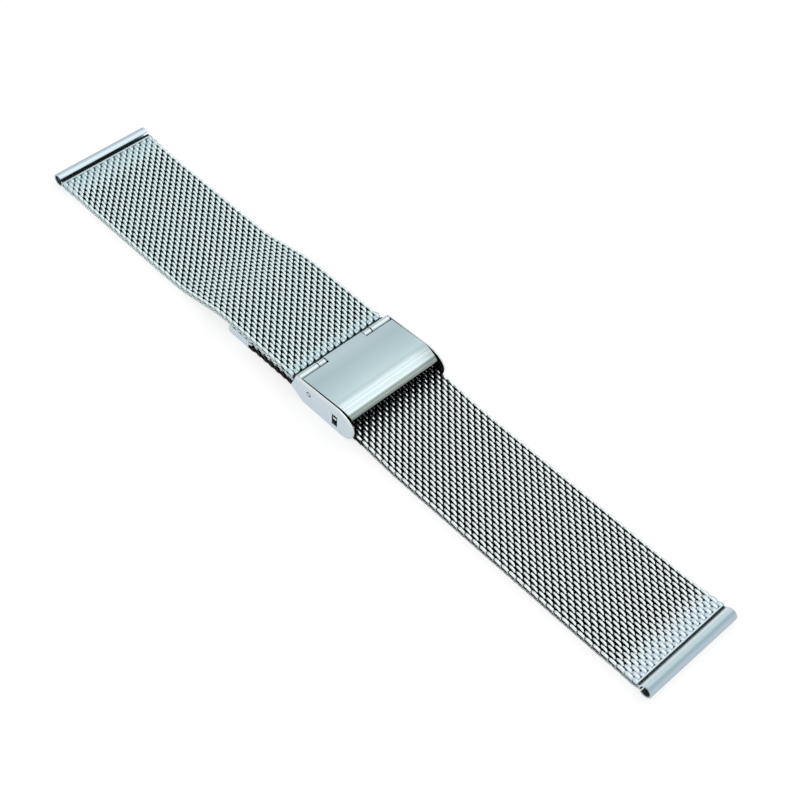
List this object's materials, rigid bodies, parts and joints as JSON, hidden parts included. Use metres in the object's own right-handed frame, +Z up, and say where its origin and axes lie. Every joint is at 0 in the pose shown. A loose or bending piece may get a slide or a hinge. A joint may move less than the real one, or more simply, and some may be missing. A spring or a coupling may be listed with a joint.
{
  "type": "watch band",
  "caption": "Woven wire mesh watch band lying closed, with rolled lug ends, a hinged fold-over sliding clasp and a smooth metal cap on the adjustable tail.",
  "frame": {"origin": "middle of the band's length and width, on the table it lies on", "axes": "+X along the band, from the lug end of the fixed half to the lug end of the adjustable half; +Y across the band; +Z up"},
  "size_m": [0.1424, 0.021, 0.0056],
  "materials": {
    "mesh_steel": "bright drawn wire",
    "polished_steel": "polished",
    "satin_steel": "satin",
    "spring_steel": "plain spring sheet"
  },
  "bodies": {
    "clasp": {"clasp_frame": "satin_steel", "hinge_pin": "polished_steel", "hinge_barrels": "polished_steel", "lock_pin": "polished_steel"},
    "cover": {"cover": "polished_steel", "cover_clip": "spring_steel"},
    "lock": {"lock_plate": "satin_steel"},
    "link": {"end_link": "polished_steel", "mesh_a_1": "mesh_steel"},
    "a2": {"mesh_a_2": "mesh_steel"},
    "a3": {"mesh_a_3": "mesh_steel"},
    "a4": {"mesh_a_4": "mesh_steel"},
    "a5": {"mesh_a_5": "mesh_steel"},
    "a6": {"mesh_a_6": "mesh_steel"},
    "a7": {"mesh_a_7": "mesh_steel", "lug_tube_a": "satin_steel"},
    "b1": {"mesh_b_1": "mesh_steel", "tail_cap": "polished_steel"},
    "b2": {"mesh_b_2": "mesh_steel"},
    "b3": {"mesh_b_3": "mesh_steel"},
    "b4": {"mesh_b_4": "mesh_steel"},
    "b5": {"mesh_b_5": "mesh_steel"},
    "b6": {"mesh_b_6": "mesh_steel"},
    "b7": {"mesh_b_7": "mesh_steel"},
    "b8": {"mesh_b_8": "mesh_steel", "lug_tube_b": "satin_steel"}
  },
  "joints": [
    {"name": "cover_hinge", "type": "hinge", "parent": "clasp", "child": "cover", "pos_m": [-0.0045, 0, 0.00415], "axis": [0, -1, 0], "range_deg": [0, 100]},
    {"name": "lock_lift", "type": "hinge", "parent": "clasp", "child": "lock", "pos_m": [-0.00155, 0, 0.0033], "axis": [0, -1, 0], "range_deg": [0, 5]},
    {"name": "strap_slide", "type": "slide", "parent": "clasp", "child": "b1", "axis": [1, 0, 0], "range_m": [0, 0.01]},
    {"name": "link_hinge", "type": "hinge", "parent": "clasp", "child": "link", "pos_m": [-0.0045, 0, 0.00415], "axis": [0, 1, 0], "range_deg": [0, 45]},
    {"name": "bend_a_1", "type": "hinge", "parent": "link", "child": "a2", "pos_m": [-0.0152, 0, 0.0031], "axis": [0, 1, 0], "range_deg": [0, 15]},
    {"name": "bend_a_2", "type": "hinge", "parent": "a2", "child": "a3", "pos_m": [-0.02445, 0, 0.0031], "axis": [0, -1, 0], "range_deg": [-20, 20]},
    {"name": "bend_a_3", "type": "hinge", "parent": "a3", "child": "a4", "pos_m": [-0.03525, 0, 0.00075], "axis": [0, -1, 0], "range_deg": [-20, 20]},
    {"name": "bend_a_4", "type": "hinge", "parent": "a4", "child": "a5", "pos_m": [-0.04395, 0, 0.00075], "axis": [0, -1, 0], "range_deg": [-20, 20]},
    {"name": "bend_a_5", "type": "hinge", "parent": "a5", "child": "a6", "pos_m": [-0.05265, 0, 0.00075], "axis": [0, -1, 0], "range_deg": [-20, 20]},
    {"name": "bend_a_6", "type": "hinge", "parent": "a6", "child": "a7", "pos_m": [-0.06135, 0, 0.00075], "axis": [0, -1, 0], "range_deg": [-20, 20]},
    {"name": "bend_b_1", "type": "hinge", "parent": "b1", "child": "b2", "pos_m": [0.01025, 0, 0.0015], "axis": [0, 1, 0], "range_deg": [-20, 20]},
    {"name": "bend_b_2", "type": "hinge", "parent": "b2", "child": "b3", "pos_m": [0.01725, 0, 0.00075], "axis": [0, 1, 0], "range_deg": [-20, 20]},
    {"name": "bend_b_3", "type": "hinge", "parent": "b3", "child": "b4", "pos_m": [0.02605, 0, 0.00075], "axis": [0, 1, 0], "range_deg": [-20, 20]},
    {"name": "bend_b_4", "type": "hinge", "parent": "b4", "child": "b5", "pos_m": [0.03485, 0, 0.00075], "axis": [0, 1, 0], "range_deg": [-20, 20]},
    {"name": "bend_b_5", "type": "hinge", "parent": "b5", "child": "b6", "pos_m": [0.04365, 0, 0.00075], "axis": [0, 1, 0], "range_deg": [-20, 20]},
    {"name": "bend_b_6", "type": "hinge", "parent": "b6", "child": "b7", "pos_m": [0.05245, 0, 0.00075], "axis": [0, 1, 0], "range_deg": [-20, 20]},
    {"name": "bend_b_7", "type": "hinge", "parent": "b7", "child": "b8", "pos_m": [0.06125, 0, 0.00075], "axis": [0, 1, 0], "range_deg": [-20, 20]}
  ],
  "couplings": [
    {"joint": "lock_lift", "follows": "cover_hinge", "ratio": 0.05}
  ]
}
